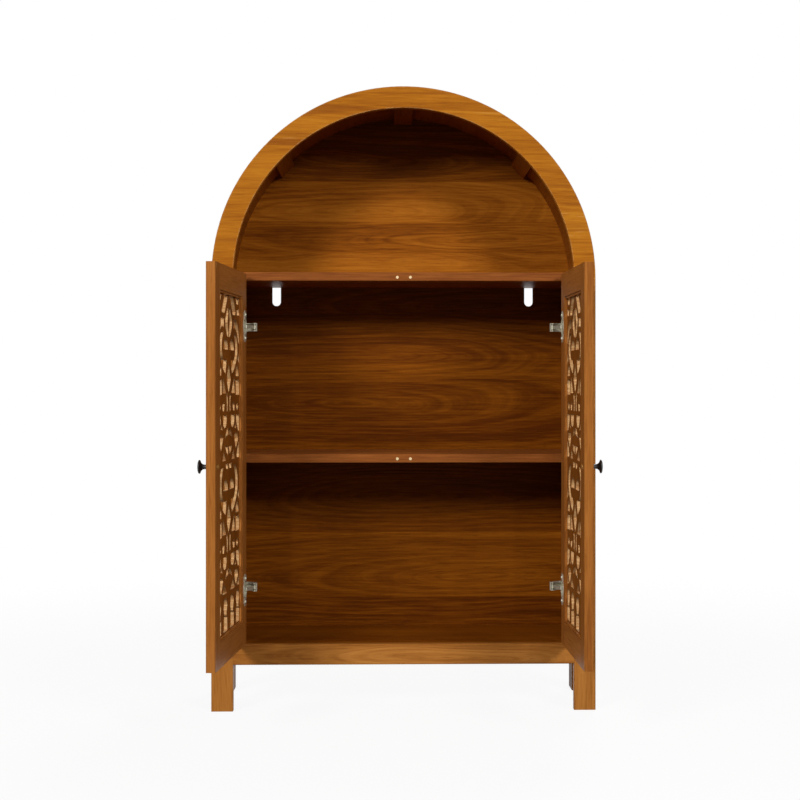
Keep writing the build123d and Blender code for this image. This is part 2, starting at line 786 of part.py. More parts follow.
    for level, height in hinge_heights.items():
        with BuildPart() as hinge_cup:
            body_deep = (-flange_thickness, cup_depth - cup_fit)
            sunk(inner, cup_across, height, cup_radius - cup_fit, body_deep, Mode.ADD)
            with BuildSketch(inner.offset(-flange_thickness)) as flange:
                with Locations((cup_across, height)):
                    Rectangle(flange_width, flange_length)
                    chamfer(flange.vertices(), flange_ease)
                    Circle(flange_radius)
            extrude(amount=flange_thickness)
            bowl_deep = (-flange_thickness, cup_depth - cup_wall)
            sunk(inner, cup_across, height, cup_inner_radius, bowl_deep)
            relief_across = sorted((cup_across, cup_across + side * flange_radius))
            relief_reach = link_height / 2 + link_relief
            relief_up = (height - relief_reach, height + relief_reach)
            slab(inner, relief_across, relief_up, (-flange_thickness, 0), Mode.SUBTRACT)
            start = (cup_pin.X, cup_pin.Y, height - cup_pin_chord)
            peg(start, (0, 0, 1), cup_pin_radius + pin_fit, 2 * cup_pin_chord, Mode.SUBTRACT)
        save(hinge_cup.part, f"{hand}_{level}_hinge_cup")

        with BuildPart() as hinge_link:
            with BuildSketch(Plane.XY.offset(height - link_height / 2)):
                for start, end in ((cup_pin, link_bend), (link_bend, arm_pin)):
                    run = end - start
                    with Locations((start + end) / 2):
                        Rectangle(
                            run.length,
                            link_thickness,
                            rotation=math.degrees(math.atan2(run.Y, run.X)),
                        )
                with Locations(link_bend):
                    Circle(link_thickness / 2)
                with Locations(cup_pin):
                    Circle(link_knuckle_radius)
                with Locations(arm_pin):
                    Circle(link_eye_radius)
                with Locations(cup_pin):
                    Circle(cup_pin_radius + pin_fit, mode=Mode.SUBTRACT)
                with Locations(arm_pin):
                    Circle(arm_pin_radius + pin_fit, mode=Mode.SUBTRACT)
            extrude(amount=link_height)
        save(hinge_link.part, f"{hand}_{level}_hinge_link")

        def over_post(rise, setback):
            """Point seen from above, by its rise off the post and its way behind the arm pin."""
            return (side * (opening_half_width - rise), arm_pin.Y + setback)

        with BuildPart() as hinge_arm:
            nose_top = arm_pin_inset + arm_nose_reach
            nose_foot = arm_pin_inset - arm_nose_reach
            with BuildSketch(Plane.XY.offset(height - arm_height / 2)) as arm_side:
                with BuildLine():
                    Polyline(
                        over_post(nose_top - arm_nose_ease, -arm_nose_reach),
                        over_post(nose_top, arm_nose_ease - arm_nose_reach),
                        over_post(nose_top, arm_shoulder),
                        over_post(arm_tail_rise, (arm_throat + arm_tail) / 2),
                        over_post(arm_tail_rise, arm_tail),
                        over_post(plate_thickness, arm_tail),
                        over_post(plate_thickness, arm_throat),
                        over_post(nose_foot, arm_nose_reach),
                        over_post(nose_foot, arm_nose_ease - arm_nose_reach),
                        over_post(nose_foot + arm_nose_ease, -arm_nose_reach),
                        close=True,
                    )
                make_face()
            extrude(amount=arm_height)
            with BuildSketch(Plane.XY.offset(height - arm_height / 2 + arm_wall)):
                with Locations((side * arm_wall, -arm_wall)):
                    add(arm_side.sketch)
            extrude(amount=arm_height - 2 * arm_wall, mode=Mode.SUBTRACT)
            start = (arm_pin.X, arm_pin.Y, height - arm_height / 2)
            peg(start, (0, 0, 1), arm_pin_radius + pin_fit, arm_height, Mode.SUBTRACT)
        save(hinge_arm.part, f"{hand}_{level}_hinge_arm")

        with BuildPart() as hinge_plate:
            plate_middle = hinge_post_back - plate_setback - plate_length / 2
            plate_place = Plane(
                origin=(side * opening_half_width, plate_middle, height),
                x_dir=(0, -side, 0),
                z_dir=(-side, 0, 0),
            )
            with BuildSketch(plate_place):
                Rectangle(plate_length, plate_height)
                for wing in HANDS.values():
                    with BuildLine():
                        Polyline(
                            (-wing_root / 2, 0),
                            (wing_root / 2, 0),
                            (wing_tip / 2, wing * wing_height / 2),
                            (-wing_tip / 2, wing * wing_height / 2),
                            close=True,
                        )
                    make_face()
            extrude(amount=plate_thickness)
        save(hinge_plate.part, f"{hand}_{level}_hinge_plate")
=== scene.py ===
"""Arched cabinet with a pair of fretwork doors: wood, metal, small hardware, light and camera."""

import logging
import math
import random
from dataclasses import dataclass, replace
from enum import Enum
from typing import Any, Optional, Sequence, Union

import bmesh
import bpy
from mathutils import Matrix, Vector


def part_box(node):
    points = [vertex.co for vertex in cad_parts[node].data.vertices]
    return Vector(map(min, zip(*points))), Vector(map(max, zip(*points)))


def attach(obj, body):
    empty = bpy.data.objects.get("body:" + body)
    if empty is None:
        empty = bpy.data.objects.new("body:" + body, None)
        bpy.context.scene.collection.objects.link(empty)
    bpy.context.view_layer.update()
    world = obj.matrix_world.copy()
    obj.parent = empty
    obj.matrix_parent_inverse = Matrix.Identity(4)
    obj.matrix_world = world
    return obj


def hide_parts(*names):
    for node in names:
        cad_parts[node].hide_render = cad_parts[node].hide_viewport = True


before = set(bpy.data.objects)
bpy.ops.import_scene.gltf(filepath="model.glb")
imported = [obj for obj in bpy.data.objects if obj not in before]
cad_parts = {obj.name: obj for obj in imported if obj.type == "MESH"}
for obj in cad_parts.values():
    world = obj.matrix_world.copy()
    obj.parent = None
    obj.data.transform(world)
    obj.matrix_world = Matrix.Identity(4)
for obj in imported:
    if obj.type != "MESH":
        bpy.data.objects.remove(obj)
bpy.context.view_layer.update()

LOG = logging.getLogger("cabinet")
Colour = tuple[float, float, float]
Triple = tuple[float, float, float]
Number = Union[float, "Signal"]
Key = Union[int, str]
WHITE = (1.0, 1.0, 1.0, 1.0)
NOWHERE: Triple = (0.0, 0.0, 0.0)


# ---------------------------------------------------------------- shader language
def linear(red: int, green: int, blue: int) -> Colour:
    """Turn a colour given in 0 to 255 screen steps into Blender's linear values.

    Args:
        red: red step.
        green: green step.
        blue: blue step.

    Returns:
        The colour in linear light.
    """

    def channel(step: int) -> float:
        """One channel of the colour."""
        share = step / 255
        return share / 12.92 if share <= 0.04045 else ((share + 0.055) / 1.055) ** 2.4

    return (channel(red), channel(green), channel(blue))


@dataclass(frozen=True)
class Signal:
    """An output of a node, on which sums can be written as plain expressions."""

    graph: "Graph"
    socket: bpy.types.NodeSocket

    def maths(self, operation: str, *others: Number, clamp: bool = False) -> "Signal":
        """Apply one arithmetic step.

        Args:
            operation: name of the Math node's operation.
            others: the step's other numbers or signals.
            clamp: keep the result between 0 and 1.

        Returns:
            The result as a signal.
        """
        settings = {"operation": operation, "use_clamp": clamp}
        values = dict(enumerate((self, *others)))
        return self.graph.node("ShaderNodeMath", settings, values).out()

    def __add__(self, other: Number) -> "Signal":
        """Sum."""
        return self.maths("ADD", other)

    def __radd__(self, other: Number) -> "Signal":
        """Sum, reflected."""
        return self.maths("ADD", other)

    def __sub__(self, other: Number) -> "Signal":
        """Difference."""
        return self.maths("SUBTRACT", other)

    def __rsub__(self, other: float) -> "Signal":
        """Difference, reflected."""
        return self.maths("MULTIPLY", -1.0) + other

    def __mul__(self, other: Number) -> "Signal":
        """Product."""
        return self.maths("MULTIPLY", other)

    def __rmul__(self, other: Number) -> "Signal":
        """Product, reflected."""
        return self.maths("MULTIPLY", other)

    def __pow__(self, other: Number) -> "Signal":
        """Power."""
        return self.maths("POWER", other)

    def above(self, level: float) -> "Signal":
        """1 where the signal lies over a level, and 0 elsewhere."""
        return self.maths("GREATER_THAN", level)

    def clamped(self) -> "Signal":
        """The signal kept between 0 and 1."""
        return self.maths("ADD", 0.0, clamp=True)

    def step(self, low: float, high: float) -> "Signal":
        """Smooth step from 0 at one value to 1 at another.

        Args:
            low: value that gives 0.
            high: value that gives 1.

        Returns:
            The stepped signal.
        """
        settings = {"interpolation_type": "SMOOTHSTEP"}
        inputs = {"Value": self, "From Min": low, "From Max": high}
        return self.graph.node("ShaderNodeMapRange", settings, inputs).out()


@dataclass(frozen=True)
class Made:
    """A node that has been made, with a short way to its outputs."""

    graph: "Graph"
    node: bpy.types.Node

    def out(self, key: Key = 0) -> Signal:
        """One output of the node as a signal."""
        return Signal(self.graph, self.graph.find(self.node.outputs, key))


class Graph:
    """A tree of nodes under construction."""

    def __init__(self, tree: bpy.types.NodeTree) -> None:
        """Start with an empty tree.

        Args:
            tree: the tree to fill.
        """
        self.tree = tree
        self.tree.nodes.clear()

    def node(
        self,
        kind: str,
        settings: Optional[dict[str, Any]] = None,
        inputs: Optional[dict[Key, Any]] = None,
    ) -> Made:
        """Make any node.

        Args:
            kind: Blender's type name of the node.
            settings: attributes to set first; "stops" holds a ramp's positions and colours.
            inputs: values or signals for its sockets.

        Returns:
            The node made.
        """
        made = self.tree.nodes.new(kind)
        for key, value in (settings or {}).items():
            if key == "stops":
                self.set_stops(made.color_ramp, value)
            else:
                setattr(made, key, value)
        for key, value in (inputs or {}).items():
            self.feed(self.find(made.inputs, key), value)
        return Made(self, made)

    def feed(self, socket: bpy.types.NodeSocket, value: Any) -> None:
        """Link a signal to a socket, or set the socket to a plain value.

        Args:
            socket: the input.
            value: signal, number, colour or vector.
        """
        if isinstance(value, Signal):
            self.tree.links.new(value.socket, socket)
        else:
            socket.default_value = value

    @staticmethod
    def find(sockets: Any, key: Key) -> bpy.types.NodeSocket:
        """Find a socket by number, by identifier or by name.

        Args:
            sockets: inputs or outputs of a node.
            key: the number, the identifier or the name.

        Returns:
            The socket.
        """
        for socket in sockets:
            if socket.identifier == key:
                return socket
        return sockets[key]

    @staticmethod
    def set_stops(ramp: bpy.types.ColorRamp, stops: Sequence[tuple[float, Colour]]) -> None:
        """Give a colour ramp its stops.

        Args:
            ramp: the ramp.
            stops: position and colour of each stop, in order.
        """
        while len(ramp.elements) < len(stops):
            ramp.elements.new(1.0)
        for element, (position, colour) in zip(ramp.elements, stops):
            element.position = position
            element.color = (*colour, 1.0)

    def ramp(self, factor: Signal, stops: Sequence[tuple[float, Colour]]) -> Signal:
        """Colour a signal by a ramp of stops."""
        return self.node("ShaderNodeValToRGB", {"stops": stops}, {"Fac": factor}).out()

    def mix(
        self, factor: Number, first: Union[Colour, Signal], second: Union[Colour, Signal]
    ) -> Signal:
        """Mix two colours.

        Args:
            factor: share of the second colour.
            first: the colour at 0.
            second: the colour at 1.

        Returns:
            The mixed colour.
        """
        inputs = {
            "Factor_Float": factor,
            "A_Color": self.opaque(first),
            "B_Color": self.opaque(second),
        }
        return self.node("ShaderNodeMix", {"data_type": "RGBA"}, inputs).out("Result_Color")

    @staticmethod
    def opaque(colour: Union[Colour, Signal]) -> Any:
        """A colour with its alpha, or the signal unchanged."""
        return colour if isinstance(colour, Signal) else (*colour, 1.0)

    def place(
        self, turn: Triple = NOWHERE, shift: Triple = NOWHERE, middle: Triple = NOWHERE
    ) -> Signal:
        """Point of the surface in the piece's own directions.

        Args:
            turn: angles that bring the piece's length onto X.
            shift: offset that gives each piece its own stretch of pattern.
            middle: point of the piece that becomes its origin.

        Returns:
            The point as a vector.
        """
        point = self.node("ShaderNodeTexCoord").out("Object")
        turned = self.node(
            "ShaderNodeVectorRotate",
            {"rotation_type": "EULER_XYZ"},
            {"Vector": self.vector("SUBTRACT", point, middle), "Rotation": turn},
        ).out()
        return self.vector("ADD", turned, shift)

    def split(self, point: Signal) -> tuple[Signal, Signal, Signal]:
        """The three numbers of a vector."""
        parts = self.node("ShaderNodeSeparateXYZ", None, {"Vector": point})
        return parts.out("X"), parts.out("Y"), parts.out("Z")

    def vector(self, operation: str, *values: Any, output: int = 0) -> Signal:
        """Apply one step of vector maths."""
        inputs = dict(enumerate(values))
        return self.node("ShaderNodeVectorMath", {"operation": operation}, inputs).out(output)

    def stretched(self, point: Signal, scale: Triple) -> Signal:
        """Scale a point by its own factor on each axis."""
        return self.vector("MULTIPLY", point, scale)

    def noise(
        self,
        point: Signal,
        scale: float,
        detail: float = 4.0,
        rough: float = 0.5,
        warp: float = 0.0,
    ) -> Signal:
        """Soft noise from 0 to 1.

        Args:
            point: where it is read.
            scale: spots per metre.
            detail: layers of finer noise.
            rough: weight of the finer layers.
            warp: how far the noise distorts itself.

        Returns:
            The noise.
        """
        inputs = {
            "Vector": point,
            "Scale": scale,
            "Detail": detail,
            "Roughness": rough,
            "Distortion": warp,
        }
        return self.node("ShaderNodeTexNoise", None, inputs).out("Fac")

    def chances(self, row: Number) -> Signal:
        """Three random numbers that stay the same over one board."""
        settings = {"noise_dimensions": "1D"}
        return self.node("ShaderNodeTexWhiteNoise", settings, {"W": row}).out("Color")

    def sharp_edge_mask(self, reach: float, bends: tuple[float, float] = (0.02, 0.25)) -> Signal:
        """Mask that is 1 along sharp edges and 0 on open faces.

        Args:
            reach: width of the edge band in metres.
            bends: how far the surface turns where the mask starts and where it is full.

        Returns:
            The mask.
        """
        rounded = self.node("ShaderNodeBevel", {"samples": 4}, {"Radius": reach}).out()
        flat = self.node("ShaderNodeNewGeometry").out("Normal")
        likeness = self.vector("DOT_PRODUCT", rounded, flat, output=1)
        return (1.0 - likeness).step(*bends)


class Shader(Graph):
    """A material under construction."""

    def __init__(self, name: str) -> None:
        """Start an empty material with one principled surface.

        Args:
            name: the material's name.
        """
        self.material = bpy.data.materials.new(name)
        self.material.use_nodes = True
        super().__init__(self.material.node_tree)
        self.surface = self.node("ShaderNodeBsdfPrincipled")
        self.output = self.node("ShaderNodeOutputMaterial", None, {"Surface": self.surface.out()})

    def bump(self, height: Signal, strength: float, depth: float) -> None:
        """Give the surface relief.

        Args:
            height: relief from 0 to 1.
            strength: weight of the relief.
            depth: height of a full step in metres.
        """
        inputs = {"Strength": strength, "Distance": depth, "Height": height}
        relief = self.node("ShaderNodeBump", None, inputs).out()
        self.link(relief, "Normal")

    def link(self, signal: Signal, socket: str) -> None:
        """Lead a signal into the surface."""
        self.feed(self.surface.node.inputs[socket], signal)

    def set(self, **values: Any) -> None:
        """Set plain values on the surface.

        Args:
            values: socket names, with underscores for spaces, and their values.
        """
        for key, value in values.items():
            self.feed(self.surface.node.inputs[key.replace("_", " ")], value)


# ---------------------------------------------------------------- finishes
class Grain(Enum):
    """Turn that brings a piece's length onto the grain's axis."""

    ACROSS = (0.0, 0.0, 0.0)
    BACKWARD = (0.0, 0.0, -math.pi / 2)
    UPRIGHT = (0.0, math.pi / 2, 0.0)


@dataclass(frozen=True)
class Stain:
    """Colours of one stained wood, from its darkest lines to its lightest bands."""

    deep: Colour
    dark: Colour
    middle: Colour
    light: Colour
    glow: Colour
    streak: Colour = linear(116, 50, 14)

    def stops(self) -> list[tuple[float, Colour]]:
        """Stops of the ramp from dark to light."""
        colours = (self.deep, self.dark, self.middle, self.light, self.glow)
        return list(zip((0.0, 0.3, 0.5, 0.7, 1.0), colours))


def stained(*steps: tuple[int, int, int]) -> Stain:
    """Make a stain from five colours in screen steps, from dark to light."""
    return Stain(*(linear(*step) for step in steps))


# The ring's lightest colour also paints the highlight along its edges
RING_STAIN = stained((122, 60, 8), (154, 86, 14), (180, 108, 22), (196, 124, 30), (236, 190, 128))
FRONT_STAIN = stained((112, 60, 20), (146, 86, 34), (176, 112, 48), (192, 126, 58), (208, 142, 72))
SHELF_STAIN = stained((90, 42, 16), (124, 65, 27), (152, 87, 38), (172, 102, 48), (190, 118, 58))
SIDE_STAIN = stained((78, 36, 8), (112, 58, 14), (142, 80, 22), (160, 94, 30), (178, 108, 40))
BACK_STAIN = stained((72, 30, 4), (112, 56, 9), (148, 82, 16), (172, 102, 26), (194, 122, 40))
# Darker copy of the back stain: painted shade for the lower back panel and the bottom panel, which
# take less light
SHADED_BACK_STAIN = stained((66, 27, 3), (102, 49, 6), (134, 72, 11), (158, 90, 18), (180, 110, 32))
DOOR_STAIN = stained((104, 52, 16), (140, 80, 32), (172, 106, 46), (188, 120, 56), (204, 136, 70))
FRET_STAIN = stained((82, 40, 8), (112, 60, 15), (138, 78, 22), (156, 92, 30), (174, 106, 42))
RAW_STAIN = stained(
    (150, 108, 66), (176, 134, 86), (196, 156, 106), (208, 170, 120), (218, 184, 136)
)


@dataclass(frozen=True)
class Layer:
    """Noise drawn out along the grain: spots per metre along and across, and its weight."""

    along: float
    across: float
    detail: float
    rough: float = 0.5
    warp: float = 0.0
    weight: float = 1.0
    shown: Optional[tuple[float, float]] = None

    def read(self, graph: Graph, point: Signal) -> Signal:
        """Read the layer.

        Args:
            graph: nodes under construction.
            point: where it is read.

        Returns:
            The noise from 0 to 1, or only its peaks where a range is shown.
        """
        drawn = graph.stretched(point, (self.along, self.across, self.across))
        noise = graph.noise(drawn, 1.0, self.detail, self.rough, self.warp)
        return noise.step(*self.shown) if self.shown else noise

    def swing(self, graph: Graph, point: Signal) -> Signal:
        """The layer about zero, times its weight."""
        return (self.read(graph, point) - 0.5) * self.weight


SWAY = Layer(1.4, 5.0, 2.0, warp=0.3)
RIPPLE = Layer(6.0, 22.0, 2.0, weight=0.005)
BROAD = Layer(1.0, 11.0, 3.0, weight=0.6)
BANDS = Layer(2.4, 55.0, 3.0, 0.6, 0.2, weight=0.3)
FIBRES = Layer(13.0, 290.0, 3.0, 0.65, weight=0.6)
PORES = Layer(34.0, 1100.0, 2.0, shown=(0.60, 0.72))
VEINS = Layer(1.7, 38.0, 3.0, warp=0.4, shown=(0.56, 0.7))
PATCHES = Layer(90.0, 90.0, 3.0, shown=(0.25, 0.6))
GROWTH_DETAIL, GROWTH_ROUGH = 4.0, 0.62
ROWS = 40.0
BOARD_SHIFT: Triple = (9.0, 9.0, 9.0)
VEIN_SHIFT: Triple = (0.37, 0.53, 0.71)
RELIEF_STRENGTH, RELIEF_DEPTH = 0.3, 0.0003


@dataclass(frozen=True)
class StainedWood:
    """Boards cut from a log: growth rings, streaks, fibres and pores under a thin stain."""

    stain: Stain
    grain: Grain = Grain.ACROSS
    yaw: float = 0.0
    # the log's middle from the board's, through and across, and how far it strays and sways
    pith: tuple[float, float] = (0.11, 0.16)
    stray: tuple[float, float] = (0.02, 0.06)
    sway: tuple[float, float] = (0.08, 0.05)
    taper: float = 0.035
    # width of a growth ring, spots per metre along it, and the weight of the rings
    ring: float = 0.0055
    ring_spots: float = 0.6
    ring_weight: float = 0.8
    figure: float = 0.5
    # height of each board's lower joint and its change of tone; on the back panels these tones
    # also hold painted shade and painted light
    boards: tuple[tuple[float, float], ...] = ()
    top_board: float = 0.1
    streaks: float = 0.25
    pore_dark: float = 0.4
    wear_and_highlight: float = 0.4
    edge: float = 0.0012
    roughness: float = 0.47
    pore_matt: float = 0.14
    fibre_sheen: float = 0.12
    specular: float = 0.14
    amber: tuple[float, float, float, float] = (1.0, 0.72, 0.42, 1.0)

    @property
    def turn(self) -> Triple:
        """Angles that bring the piece's length onto X."""
        x, y, z = self.grain.value
        return (x, y, z + self.yaw)

    def board_at(self, shader: Shader, row: Number) -> tuple[Number, Number, Signal]:
        """Tell the boards of a panel apart by height.

        Args:
            shader: material being made.
            row: number of the lowest board.

        Returns:
            The board's number, its change of tone and the height over its middle.
        """
        tone: Number = 0.0
        height = shader.split(shader.node("ShaderNodeTexCoord").out("Object"))[2]
        joints = [joint for joint, _ in self.boards]
        edges = [2.0 * joints[0] - joints[1], *joints, joints[-1] + self.top_board]
        centre: Number = (edges[0] + edges[1]) / 2.0
        for index, (joint, change) in enumerate(self.boards):
            above = height.above(joint)
            row = above + row
            tone = above * change + tone
            centre = above * ((edges[index + 2] - edges[index]) / 2.0) + centre
        return row, tone, height - centre

    def rings_at(
        self, shader: Shader, spot: Sequence[Signal], moved: Signal, chance: Signal
    ) -> Signal:
        """Cut through the log's growth rings.

        Args:
            shader: material being made.
            spot: places along, through and across the board.
            moved: the point in the board's own stretch of wood.
            chance: the board's three random numbers.

        Returns:
            The rings, from 0 to 1.
        """
        along, deep, wide = spot
        first, second, third = shader.split(chance)
        sway = SWAY.swing(shader, moved)
        slope = (second - 0.5) * (self.taper * 2.0)
        across = wide + self.pith[1] + (first - 0.5) * self.stray[1] + sway * self.sway[1]
        below = deep + self.pith[0] + third * self.stray[0] + along * slope
        below = below + sway * self.sway[0]
        radius = (across * across + below * below) ** 0.5 + RIPPLE.swing(shader, moved)
        parts = {"X": radius * (1.0 / self.ring), "Y": along * self.ring_spots, "Z": first}
        growth = shader.node("ShaderNodeCombineXYZ", None, parts).out()
        return shader.noise(growth, 1.0, GROWTH_DETAIL, GROWTH_ROUGH)

    def pattern(self, shader: Shader, seed: int, middle: Triple) -> tuple[Signal, Signal, Signal]:
        """Lay out the grain.

        Args:
            shader: material being made.
            seed: number that gives each piece its own stretch of wood.
            middle: middle of the piece.

        Returns:
            Tone, fine fibres and pores, each from 0 to 1.
        """
        point = shader.place(self.turn, middle=middle)
        along, deep, wide = shader.split(point)
        row: Number = random.Random(seed).uniform(0.0, ROWS)
        tone: Number = 0.0
        if self.boards:
            row, tone, wide = self.board_at(shader, row)
        chance = shader.chances(row)
        moved = shader.vector("ADD", point, shader.stretched(chance, BOARD_SHIFT))
        rings = self.rings_at(shader, (along, deep, wide), moved, chance)
        fibres = FIBRES.read(shader, moved)
        pores = PORES.read(shader, moved)
        tone = (rings - 0.5) * (self.ring_weight * self.figure) + tone
        tone = BROAD.swing(shader, moved) + BANDS.swing(shader, moved) + tone
        tone = (fibres - 0.5) * FIBRES.weight + tone + 0.5
        return tone.clamped(), fibres, pores

    def build(self, name: str, seed: int, middle: Triple) -> bpy.types.Material:
        """Make the material.

        Args:
            name: the material's name.
            seed: number of the piece.
            middle: middle of the piece.

        Returns:
            The material.
        """
        shader = Shader(name)
        tone, fibres, pores = self.pattern(shader, seed, middle)
        colour = shader.ramp(tone, self.stain.stops())
        moved = shader.place(self.turn, tuple(step * seed for step in VEIN_SHIFT))
        vein = VEINS.read(shader, moved)
        colour = shader.mix(vein * self.streaks, colour, self.stain.streak)
        colour = shader.mix(pores * self.pore_dark, colour, self.stain.deep)
        # Lighter edges in the stain's lightest colour: partly wear, partly a painted highlight
        # where the edges catch light
        edge_lightening = PATCHES.read(shader, shader.place()) * shader.sharp_edge_mask(self.edge)
        colour = shader.mix(edge_lightening * self.wear_and_highlight, colour, self.stain.glow)
        shader.link(colour, "Base Color")
        matt = pores * self.pore_matt - fibres * self.fibre_sheen
        shader.link(matt + self.roughness, "Roughness")
        shader.bump(fibres * 0.5 - pores * 0.8, RELIEF_STRENGTH, RELIEF_DEPTH)
        shader.set(Specular_IOR_Level=self.specular, Specular_Tint=self.amber)
        return shader.material


@dataclass(frozen=True)
class FretWood:
    """Stained faces over pale sawn walls in every opening of the fretwork."""

    stain: Stain
    yaw: float
    sawn_light: Colour = linear(216, 172, 118)
    sawn_dark: Colour = linear(176, 124, 74)
    figure: float = 0.4
    layers: Triple = (60, 60, 380)
    layer_range: tuple[float, float] = (0.3, 0.7)
    face_range: tuple[float, float] = (0.55, 0.8)
    scorch: float = 0.35
    scorch_reach: float = 0.0011
    sawn_roughness: float = 0.68
    face_sheen: float = 0.22
    pore_matt: float = 0.08
    specular: float = 0.2

    def build(self, name: str, seed: int, middle: Triple) -> bpy.types.Material:
        """Make the material.

        Args:
            name: the material's name.
            seed: number of the piece.
            middle: middle of the piece.

        Returns:
            The material.
        """
        shader = Shader(name)
        wood = StainedWood(self.stain, Grain.UPRIGHT, figure=self.figure)
        tone, fibres, pores = wood.pattern(shader, seed, middle)
        face = shader.ramp(tone, self.stain.stops())
        layers = shader.noise(shader.stretched(shader.place(), self.layers), 1.0, 3.0)
        sawn = shader.mix(layers.step(*self.layer_range), self.sawn_dark, self.sawn_light)
        normal = shader.node("ShaderNodeTexCoord").out("Normal")
        across = (math.sin(self.yaw), -math.cos(self.yaw), 0.0)
        facing = shader.vector("DOT_PRODUCT", normal, across, output=1).maths("ABSOLUTE")
        on_face = facing.step(*self.face_range)
        colour = shader.mix(on_face, sawn, face)
        scorched = shader.sharp_edge_mask(self.scorch_reach) * on_face
        colour = shader.mix(scorched * self.scorch, colour, self.stain.deep)
        shader.link(colour, "Base Color")
        matt = on_face * -self.face_sheen + pores * self.pore_matt
        shader.link(matt + self.sawn_roughness, "Roughness")
        shader.bump(fibres * 0.5 + layers * 0.5, RELIEF_STRENGTH, RELIEF_DEPTH)
        shader.set(Specular_IOR_Level=self.specular)
        return shader.material


@dataclass(frozen=True)
class Metal:
    """Plated or painted metal with fine brushing, smudges and rubbed edges."""

    bright: Colour
    dull: Colour
    rubbed: Colour
    metallic: float
    roughness: float
    brushing: float = 0.5
    strokes: Triple = (300, 300, 3000)
    stroke_depth: float = 0.0001
    smudges: float = 130.0
    smudge_range: tuple[float, float] = (0.3, 0.75)
    smudge_matt: float = 0.18
    rubbed_reach: float = 0.0005

    def build(self, name: str, seed: int, middle: Triple) -> bpy.types.Material:
        """Make the material.

        Args:
            name: the material's name.
            seed: number of the piece.
            middle: middle of the piece.

        Returns:
            The material.
        """
        shader = Shader(name)
        dice = random.Random(seed)
        shift = tuple(dice.uniform(-3, 3) for _ in range(3))
        point = shader.place(shift=shift, middle=middle)
        smudge = shader.noise(point, self.smudges, rough=0.6)
        brushed = shader.noise(shader.stretched(point, self.strokes), 1.0, 2.0)
        colour = shader.mix(smudge.step(*self.smudge_range), self.bright, self.dull)
        edge_lightening = shader.sharp_edge_mask(self.rubbed_reach) * smudge
        colour = shader.mix(edge_lightening, colour, self.rubbed)
        shader.link(colour, "Base Color")
        matt = smudge * self.smudge_matt + brushed * (0.1 * self.brushing)
        shader.link(matt + self.roughness, "Roughness")
        shader.bump(brushed, 0.15 * self.brushing, self.stroke_depth)
        shader.set(Metallic=self.metallic)
        return shader.material


NICKEL = Metal(
    linear(218, 213, 192), linear(186, 182, 160), linear(236, 232, 218),
    metallic=0.65, roughness=0.36,
)
BRASS = Metal(
    linear(214, 170, 96), linear(178, 134, 70), linear(236, 204, 140),
    metallic=0.8, roughness=0.3,
)
MAGNET = Metal(
    linear(232, 206, 158), linear(206, 178, 128), linear(242, 226, 188),
    metallic=0.5, roughness=0.3,
)
BLACK_PAINT = Metal(
    linear(14, 13, 12), linear(22, 21, 20), linear(44, 41, 38),
    metallic=0.0, roughness=0.34, brushing=0.2,
)
RAW_WOOD = StainedWood(RAW_STAIN, figure=0.3, streaks=0.0)


# ---------------------------------------------------------------- assemblies
def dress(node: str, finish: Any, seed: int) -> None:
    """Give one carried-over node its finish.

    Args:
        node: name of the node.
        finish: finish to build for it.
        seed: number that varies the finish.
    """
    low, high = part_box(node)
    middle = tuple((a + b) / 2 for a, b in zip(low, high))
    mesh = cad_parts[node].data
    mesh.materials.clear()
    mesh.materials.append(finish.build(f"{node}_finish", seed, middle))
    LOG.info("%s dressed", node)


SMOOTH_BELOW = math.radians(38)


def add_piece(
    name: str,
    shell: bmesh.types.BMesh,
    place: Matrix,
    body: str,
    finish: Any,
    seed: int,
) -> bpy.types.Object:
    """Turn a shell into a dressed piece that rides on a body.

    Args:
        name: the piece's name.
        shell: its mesh, at the origin with its axis on Z.
        place: where it goes.
        body: body that carries it.
        finish: finish to build for it.
        seed: number that varies the finish.

    Returns:
        The piece.
    """
    shell.transform(place)
    bmesh.ops.recalc_face_normals(shell, faces=shell.faces)
    mesh = bpy.data.meshes.new(name)
    shell.to_mesh(mesh)
    shell.free()
    mesh.materials.append(finish.build(f"{name}_finish", seed, tuple(place.translation)))
    mesh.shade_smooth()
    mesh.set_sharp_from_angle(angle=SMOOTH_BELOW)
    piece = bpy.data.objects.new(name, mesh)
    bpy.context.scene.collection.objects.link(piece)
    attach(piece, body)
    LOG.info("%s made", name)
    return piece


